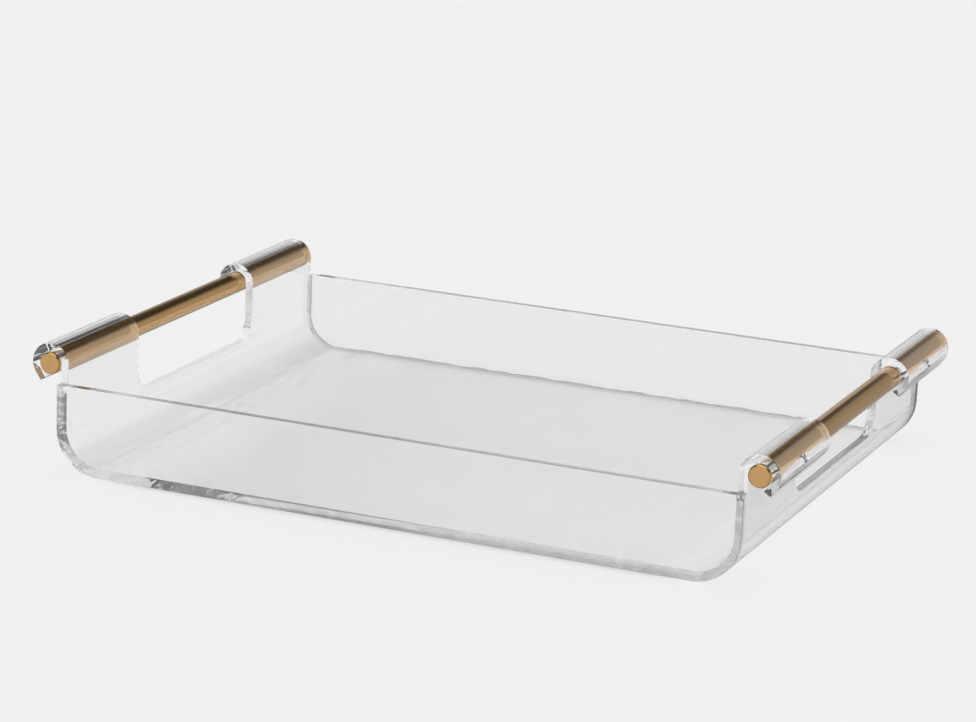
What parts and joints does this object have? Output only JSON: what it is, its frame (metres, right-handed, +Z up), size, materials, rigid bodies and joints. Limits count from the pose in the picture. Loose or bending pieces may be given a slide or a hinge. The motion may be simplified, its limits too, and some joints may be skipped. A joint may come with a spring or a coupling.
{
  "type": "vanity tray",
  "caption": "Clear bent-acrylic tray with glued front and back panels and end walls that curl over satin brass rod handles.",
  "frame": {"origin": "centre of the footprint, on the surface that the tray stands on", "axes": "+X to the right along the tray's length, from one handle rod to the other; +Y to the back; +Z up"},
  "size_m": [0.4424, 0.317, 0.0727],
  "materials": {
    "acrylic": "clear, colourless, polished",
    "rod_metal": "satin, drawn along the rod",
    "screw_steel": "black oxide"
  },
  "bodies": {
    "root": {"tray_sheet": "acrylic", "front_panel": "acrylic", "back_panel": "acrylic", "left_handle_rod": "rod_metal", "right_handle_rod": "rod_metal", "left_front_set_screw": "screw_steel", "left_back_set_screw": "screw_steel", "right_front_set_screw": "screw_steel", "right_back_set_screw": "screw_steel"}
  },
  "joints": []
}
